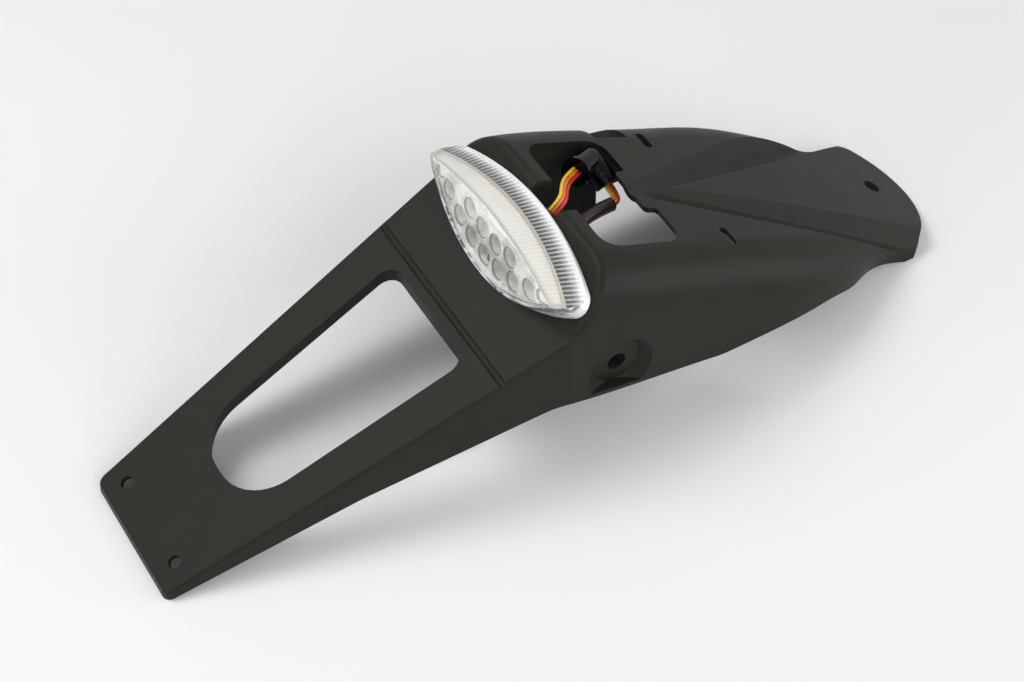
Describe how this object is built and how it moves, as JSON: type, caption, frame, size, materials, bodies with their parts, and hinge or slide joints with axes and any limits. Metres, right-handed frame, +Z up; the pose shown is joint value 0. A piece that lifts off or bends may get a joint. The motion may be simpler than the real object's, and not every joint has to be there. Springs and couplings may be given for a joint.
{
  "type": "motorcycle tail tidy",
  "caption": "Moulded motorcycle plate holder with a tapered windowed plate arm, a hump carrying a clear LED tail lamp, a wiring cut-out and a fixing tongue.",
  "frame": {"origin": "centre of the footprint, on the surface that the plate end and the front tip rest on", "axes": "+X from the plate end to the front tip, +Y to the side with the small relief, +Z up"},
  "size_m": [0.45, 0.1308, 0.1204],
  "materials": {
    "body_plastic": "fine grained moulded black, satin",
    "lens_clear": "clear moulded plastic, polished",
    "reflector_metal": "vacuum metallised, bright",
    "housing_plastic": "plain moulded black",
    "seal_rubber": "soft black foam and rubber",
    "board_white": "white solder mask",
    "led_clear": "clear epoxy dome",
    "screw_steel": "dark zinc plate",
    "wire_yellow": "smooth vinyl",
    "wire_orange": "smooth vinyl",
    "wire_red": "smooth vinyl",
    "boot_vinyl": "glossy soft vinyl",
    "sleeve_vinyl": "glossy soft vinyl tube",
    "plug_plastic": "plain moulded black",
    "terminal_brass": "tinned"
  },
  "bodies": {
    "root": {"body": "body_plastic", "lamp_lens": "lens_clear", "lamp_reflector": "reflector_metal", "lamp_housing": "housing_plastic", "lens_seal": "seal_rubber", "led_board": "board_white", "tail_leds": "led_clear", "lamp_screws": "screw_steel", "lamp_grommet": "seal_rubber", "lamp_wire_yellow": "wire_yellow", "lamp_wire_orange": "wire_orange", "lamp_wire_red": "wire_red", "lead_wire_yellow": "wire_yellow", "lead_wire_orange": "wire_orange", "lead_wire_red": "wire_red", "wire_boot": "boot_vinyl", "lead_sleeve": "sleeve_vinyl", "plug_housing": "plug_plastic", "plug_terminals": "terminal_brass"}
  },
  "joints": []
}
